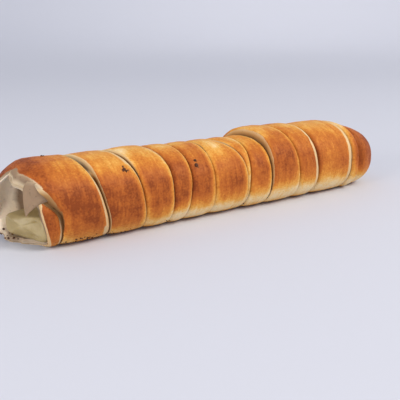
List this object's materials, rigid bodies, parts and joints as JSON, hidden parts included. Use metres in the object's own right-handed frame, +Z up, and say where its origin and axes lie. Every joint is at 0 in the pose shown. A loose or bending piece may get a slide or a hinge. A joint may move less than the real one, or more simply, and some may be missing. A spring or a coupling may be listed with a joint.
{
  "type": "halloumi cheese roll",
  "caption": "Long baked roll of bread dough wound in a spiral round a stick of cheese, open at one end where the cheese shows, closed and rounded at the other.",
  "frame": {"origin": "centre of the bounding box in plan, on the surface that the roll rests on", "axes": "+X along the roll from its open end to its closed end, -Y towards the front, +Z up"},
  "size_m": [0.25, 0.0537, 0.0455],
  "materials": {
    "bread": "browned, lightly glossy wheat crust, golden on top and red-brown on the sides, with pale cream dough in the seams, at the open end and along the base",
    "cheese": "warm halloumi, pale yellow-green, smooth and slightly moist"
  },
  "bodies": {
    "root": {"bread": "bread", "cheese": "cheese"}
  },
  "joints": []
}
